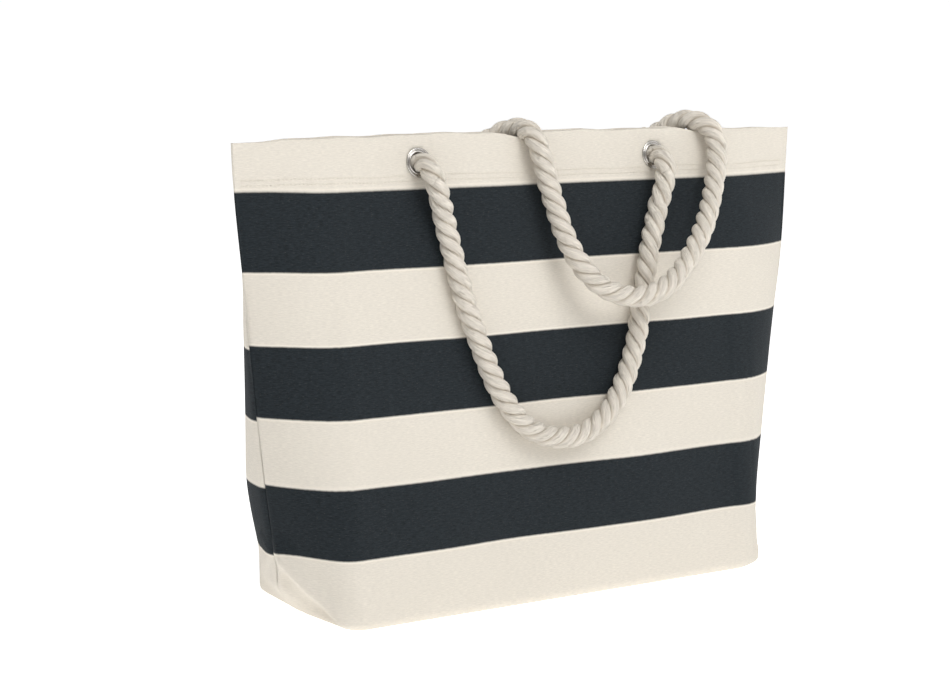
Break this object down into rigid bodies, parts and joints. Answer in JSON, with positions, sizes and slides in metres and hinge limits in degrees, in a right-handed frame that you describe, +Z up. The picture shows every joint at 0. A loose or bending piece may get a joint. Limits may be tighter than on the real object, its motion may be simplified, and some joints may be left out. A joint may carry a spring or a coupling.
{
  "type": "beach bag",
  "caption": "Striped canvas beach bag with boxed base, near-closed mouth, metal eyelets and two laid rope handles hanging over its front.",
  "frame": {"origin": "middle of the base, on the surface the bag stands on", "axes": "+X along the bag from its left end to its right end, -Y towards its front, +Z up"},
  "size_m": [0.5432, 0.1372, 0.3822],
  "materials": {
    "striped_canvas": "ecru cotton canvas with charcoal stripes",
    "plain_canvas": "ecru cotton canvas",
    "cotton_rope": "natural three-strand cotton rope",
    "eyelet_metal": "bright nickel plate"
  },
  "bodies": {
    "bag": {"front_panel": "striped_canvas", "back_panel": "striped_canvas", "front_hem": "plain_canvas", "back_hem": "plain_canvas", "front_left_eyelet": "eyelet_metal", "front_right_eyelet": "eyelet_metal", "back_left_eyelet": "eyelet_metal", "back_right_eyelet": "eyelet_metal", "front_left_washer": "eyelet_metal", "front_right_washer": "eyelet_metal", "back_left_washer": "eyelet_metal", "back_right_washer": "eyelet_metal", "front_left_rope_end": "cotton_rope", "front_right_rope_end": "cotton_rope", "back_left_rope_end": "cotton_rope", "back_right_rope_end": "cotton_rope"},
    "front_handle": {"front_rope": "cotton_rope"},
    "back_handle": {"back_rope": "cotton_rope"}
  },
  "joints": [
    {"name": "back_handle_swing", "type": "hinge", "parent": "bag", "child": "back_handle", "pos_m": [0, 0.022, 0.345], "axis": [-1, 0, 0], "range_deg": [0, 150]},
    {"name": "front_handle_swing", "type": "hinge", "parent": "bag", "child": "front_handle", "pos_m": [0, -0.022, 0.345], "axis": [-1, 0, 0], "range_deg": [0, 150]}
  ],
  "couplings": [
    {"joint": "front_handle_swing", "follows": "back_handle_swing", "ratio": 1}
  ]
}
